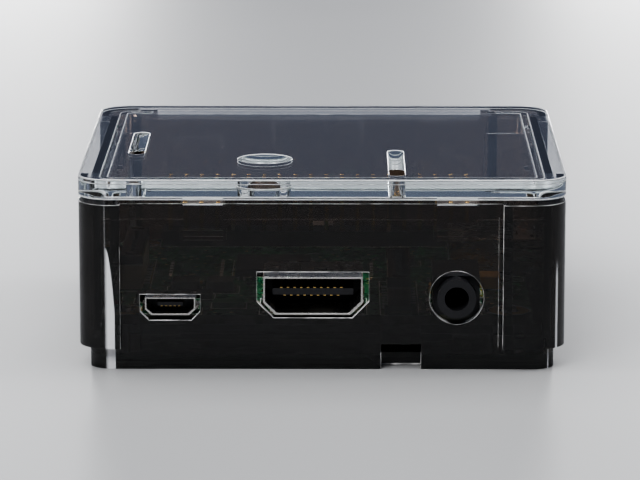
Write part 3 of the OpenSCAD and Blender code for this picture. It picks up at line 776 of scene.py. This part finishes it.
def slot_outline(x, y0, y1, width):
    """A slot along Y with round ends, in plan."""
    r = width / 2
    return arc((x, y1 - r), r, 0, 180) + arc((x, y0 + r), r, 180, 360)


def ring_outline(center, radius):
    """Points all round a circle in plan."""
    return arc(center, radius, 0, 352.5, 47)


def lid_highlight_lines(material):
    """Painted highlight lines along the edges of the lid's plate, lip, round camera hole and two cable slots."""

    def on_lid(name, points, radius=FINE_LINE, closed=True):
        highlight_bead(name, points, radius, material, "lid", closed)

    plate = plan_outline(0.125 * MM)
    on_lid("lid_edge_top", at_height(plate, CASE_TOP - 0.125 * MM), BOLD_LINE)
    on_lid("lid_edge_shoulder", at_height(plan_outline(0.075 * MM), CASE_TOP - 0.7 * MM), 0.07 * MM)
    on_lid("lid_edge_low", at_height(plate, PLATE_LOW + 0.125 * MM), BOLD_LINE)
    for name, inset in (("lip_edge_outer", LIP_IN), ("lip_edge_inner", LIP_IN + LIP_T)):
        on_lid(name, at_height(lip_outline(inset), PLATE_LOW - 0.1 * MM), BOLD_LINE, False)
    lens = ring_outline((BOARD_LOW.x + 24.55 * MM, BOARD_LOW.y + 14.05 * MM), 4.2 * MM)
    on_lid("lens_edge_top", at_height(lens, CASE_TOP - 0.1 * MM))
    on_lid("lens_edge_low", at_height(lens, PLATE_LOW + 0.1 * MM))
    for name, x, y0, y1 in (("display_slot_edge", 4.7, 17.65, 37.05), ("camera_slot_edge", 44.55, 0.2, 21.55)):
        outline = slot_outline(BOARD_LOW.x + x * MM, BOARD_LOW.y + y0 * MM, BOARD_LOW.y + y1 * MM, 2.6 * MM)
        on_lid(name, at_height(outline, CASE_TOP - 0.1 * MM))


def case_highlight_lines(material):
    """Painted highlight lines along the edges of the base's rim, ports, corner columns and front notch."""

    def on_case(name, points, radius=FINE_LINE, closed=True):
        highlight_bead(name, points, radius, material, "case", closed)

    on_case("rim_edge", at_height(rim_outline(), BASE_TOP - 0.02 * MM))
    for name, x, width, low, high, cut in (
        ("hdmi", 32, 16.8, 7.87, 14.91, 2.45), ("power", 10.6, 9.1, 7.48, 11.47, 1.3),
    ):
        outline = cut_port(BOARD_LOW.x + x * MM, width * MM, low * MM, high * MM, cut * MM)
        on_case(name + "_port_edge", on_front(outline, RECESS), THIN_LINE)
        on_case(name + "_port_sill", on_front(outline[:2], RECESS), 0.08 * MM, False)
        on_case(name + "_port_head", on_front(outline[3:5], RECESS), FINE_LINE, False)
    jack = ring_outline((BOARD_LOW.x + 53.5 * MM, 10.98 * MM), 4.1 * MM)
    on_case("av_port_edge", on_front(jack, RECESS), 0.05 * MM)
    side, half = HALF_W - RECESS, 7.5
    for name, x, y, low, high in (
        ("usb_port_edge", side, BOARD_LOW.y + 31.45 * MM, 7.4, 15.8),
        ("card_port_edge", -side, middle("memory_card").y, 3.6, 8.4),
    ):
        corners = ((-half, low), (half, low), (half, high), (-half, high))
        on_case(name, [(x, y + dy * MM, z * MM) for dy, z in corners], THIN_LINE)
    for name, x, depth, high, radius in (
        ("column_edge_left", -HALF_W + COLUMN_LEFT, THIN_LINE, 19 * MM, THIN_LINE),
        ("column_edge_right", HALF_W - COLUMN_RIGHT, FINE_LINE, BASE_TOP, FINE_LINE),
        ("panel_edge_right", HALF_W - COLUMN_RIGHT - 0.65 * MM, RECESS, BASE_TOP - 2 * MM, THIN_LINE),
    ):
        on_case(name, on_front([(x, PLINTH_H), (x, high)], depth), radius, False)
        on_case(name + "_back", [(x, HALF_D - depth, PLINTH_H), (x, HALF_D - depth, high)], radius, False)
    notch, half_notch = BOARD_LOW.x + 45.2 * MM, 3 * MM
    for name, x in (("notch_edge_left", notch - half_notch), ("notch_edge_right", notch + half_notch)):
        on_case(name, on_front([(x, 0.12 * MM), (x, 2.6 * MM)], RECESS), THIN_LINE, False)
    # Painted highlight: a bright line along the floor of the front notch
    foot_half, foot_z = 2.95 * MM, 0.17 * MM
    foot = on_front([(notch - foot_half, foot_z), (notch + foot_half, foot_z)], RECESS + 2.66 * MM)
    on_case("notch_foot", foot, 0.16 * MM, False)


# ---------- studio ----------


def studio_floor():
    s = Shader("pale_floor")
    paper = s.noise(700, 4.0, 0.6)
    s.principled(
        Base_Color=s.mix(s.remap(s.noise(6), 0.3, 0.7), rgb(0.27, 0.27, 0.272), rgb(0.29, 0.29, 0.29)),
        Roughness=0.5, Normal=s.bump(paper, 0.12, 0.1 * MM),
    )
    mesh = bpy.data.meshes.new("floor")
    mesh.from_pydata([(-6, -6, 0), (6, -6, 0), (6, 6, 0), (-6, 6, 0)], [], [(0, 1, 2, 3)])
    floor = bpy.data.objects.new("floor", mesh)
    bpy.context.scene.collection.objects.link(floor)
    paint(floor, s.material)


def softbox(name, size, power, location):
    """A rectangular lamp aimed at the middle of the object."""
    lamp = bpy.data.lights.new(name, "AREA")
    lamp.shape = "RECTANGLE"
    lamp.size, lamp.size_y = size
    lamp.energy = power
    obj = bpy.data.objects.new(name, lamp)
    bpy.context.scene.collection.objects.link(obj)
    obj.location = location
    obj.rotation_euler = (Vector((0, 0, 15 * MM)) - Vector(location)).to_track_quat("-Z", "Y").to_euler()


def studio_world():
    world = bpy.data.worlds.new("studio")
    bpy.context.scene.world = world
    world.use_nodes = True
    background = world.node_tree.nodes["Background"]
    background.inputs["Color"].default_value = rgb(0.55, 0.63, 0.85)
    background.inputs["Strength"].default_value = 0.2
    bpy.context.scene.view_settings.look = "AgX - High Contrast"


def studio_lights():
    softbox("overhead", (1.6, 1.2), 12.5, (0.0, 0.0, 0.8))
    softbox("front_key", (0.5, 0.3), 4.5, (-0.3, -0.6, 0.66))
    softbox("left_strip", (0.12, 0.5), 1.2, (-0.5, -0.1, 0.52))
    softbox("right_strip", (0.1, 0.5), 1.0, (0.5, 0.05, 0.52))
    softbox("back_left", (0.1, 0.1), 0.9, (-0.13, 0.8, 0.06))
    softbox("back_right", (0.1, 0.1), 0.9, (0.13, 0.8, 0.06))


def photo_camera():
    data = bpy.data.cameras.new("camera")
    data.sensor_width = 36.0
    data.lens = 213.1
    data.clip_end = 20
    obj = bpy.data.objects.new("camera", data)
    bpy.context.scene.collection.objects.link(obj)
    obj.location = (3.09 * MM, -583.8 * MM, 135.2 * MM)
    obj.rotation_euler = Euler((math.radians(90 - 11.79), 0.0, math.radians(0.35)))
    bpy.context.scene.camera = obj


photo_camera()
MATERIALS = make_materials()
dress_nodes(MATERIALS)
board_detail(MATERIALS)
lid_highlight_lines(MATERIALS["clear_edge_highlight"])
case_highlight_lines(MATERIALS["smoke_edge_highlight"])
studio_floor()
studio_world()
studio_lights()
